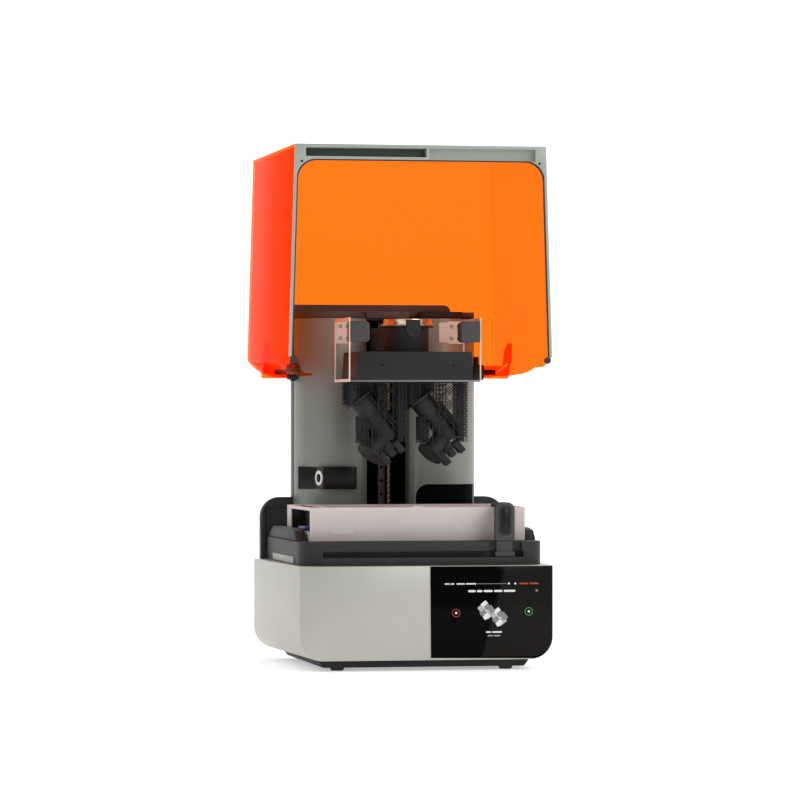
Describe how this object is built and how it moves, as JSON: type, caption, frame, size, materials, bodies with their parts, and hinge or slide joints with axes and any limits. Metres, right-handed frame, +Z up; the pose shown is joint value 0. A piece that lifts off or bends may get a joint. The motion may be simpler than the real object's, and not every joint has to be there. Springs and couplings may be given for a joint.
{
  "type": "desktop resin 3d printer",
  "caption": "Desktop resin 3-D printer: silver base with touchscreen, lobed column, resin tank, build platform and a hinged amber cover that swings open.",
  "frame": {"origin": "centre of the base's footprint on the plane the feet stand on", "axes": "+X to the right seen from the front, +Y to the back, +Z up"},
  "size_m": [0.398, 0.4483, 0.7712],
  "materials": {
    "silver_shell": "satin",
    "screen_glass": "gloss",
    "black_gloss": "gloss",
    "black_matte": "matte",
    "deck_grey": "matte",
    "rubber": "matte",
    "sage": "satin",
    "amber": "gloss",
    "tank_grey": "matte",
    "film": "gloss",
    "blue_tab": "satin",
    "white_ring": "gloss",
    "steel": "brushed",
    "cream_metal": "satin",
    "brass": "satin",
    "print_resin": "satin",
    "dark_parts": "matte",
    "circuit_green": "gloss"
  },
  "bodies": {
    "base": {"base_shell": "silver_shell", "front_panel": "silver_shell", "screen_bezel": "silver_shell", "touchscreen_glass": "screen_glass", "display_module": "black_matte", "plinth": "black_matte", "feet": "rubber", "deck": "deck_grey", "side_trim": "sage", "tank_guides": "black_matte", "rear_bulkhead": "black_gloss", "tower_shell": "sage", "tower_rear_casing": "black_matte", "tower_lid": "black_gloss", "dispense_bay": "black_matte", "linear_rail": "steel", "camera_pod": "black_gloss", "camera_lens": "white_ring", "hinge_brackets": "black_matte", "backlight_unit": "dark_parts", "lcd_panel": "screen_glass", "lift_motor": "dark_parts", "screw_bearing": "steel", "control_board": "circuit_green", "power_supply": "steel", "power_inlet": "black_matte", "port_plate": "black_matte", "fan_frame": "black_matte", "case_screws": "steel", "resin_tank": "tank_grey", "tank_film": "film", "tank_tab": "blue_tab"},
    "cover": {"cover_shell": "amber", "cover_rim": "sage", "cover_gasket": "rubber", "cover_bumpers": "rubber", "hinge_arms": "black_matte"},
    "lift": {"lift_carriage": "steel", "lift_nut": "brass", "lift_arm": "black_matte", "platform_hub": "black_matte", "platform_body": "black_matte", "flex_sheet": "steel", "print_left": "print_resin", "print_right": "print_resin"},
    "left_flex": {"left_flange": "cream_metal", "left_grip": "deck_grey", "flange_rivets_left": "steel"},
    "right_flex": {"right_flange": "cream_metal", "right_grip": "deck_grey", "flange_rivets_right": "steel"},
    "latch": {"platform_latch": "black_matte"},
    "screw": {"leadscrew": "brass"},
    "mixer": {"mixer_carriage": "black_matte", "mixer_arm": "black_matte", "mixer_blade": "black_matte"},
    "cartridge": {"resin_cartridge": "dark_parts"},
    "fan": {"fan_rotor": "black_matte"},
    "switch": {"power_switch": "black_matte"}
  },
  "joints": [
    {"name": "cover_hinge", "type": "hinge", "parent": "base", "child": "cover", "pos_m": [0, 0.1475, 0.4402], "axis": [1, 0, 0], "range_deg": [0, 90]},
    {"name": "lift_travel", "type": "slide", "parent": "base", "child": "lift", "axis": [0, 0, 1], "range_m": [-0.094, 0]},
    {"name": "screw_turn", "type": "hinge", "parent": "base", "child": "screw", "pos_m": [0.003, 0.141, 0.2], "axis": [0, 0, 1], "range_deg": [-4500, 0]},
    {"name": "left_flex_squeeze", "type": "hinge", "parent": "lift", "child": "left_flex", "pos_m": [-0.098, 0, 0.4235], "axis": [0, 1, 0], "range_deg": [0, 3], "stiffness_Nm_per_rad": 20},
    {"name": "right_flex_squeeze", "type": "hinge", "parent": "lift", "child": "right_flex", "pos_m": [0.098, 0, 0.4235], "axis": [0, -1, 0], "range_deg": [0, 3], "stiffness_Nm_per_rad": 20},
    {"name": "latch_turn", "type": "hinge", "parent": "lift", "child": "latch", "pos_m": [0, -0.0728, 0.513], "axis": [-1, 0, 0], "range_deg": [0, 70]},
    {"name": "mixer_travel", "type": "slide", "parent": "base", "child": "mixer", "axis": [1, 0, 0], "range_m": [-0.245, 0]},
    {"name": "cartridge_lift", "type": "slide", "parent": "base", "child": "cartridge", "axis": [0, 0, -1], "range_m": [-0.22, 0]},
    {"name": "fan_spin", "type": "hinge", "parent": "base", "child": "fan", "pos_m": [0.078, 0.178, 0.1], "axis": [0, 1, 0], "continuous": true},
    {"name": "power_rocker", "type": "hinge", "parent": "base", "child": "switch", "pos_m": [0.1, 0.1795, 0.048], "axis": [-1, 0, 0], "range_deg": [0, 16]}
  ],
  "couplings": [
    {"joint": "screw_turn", "follows": "lift_travel", "rad_per_m": 785.4},
    {"joint": "right_flex_squeeze", "follows": "left_flex_squeeze", "ratio": 1}
  ]
}
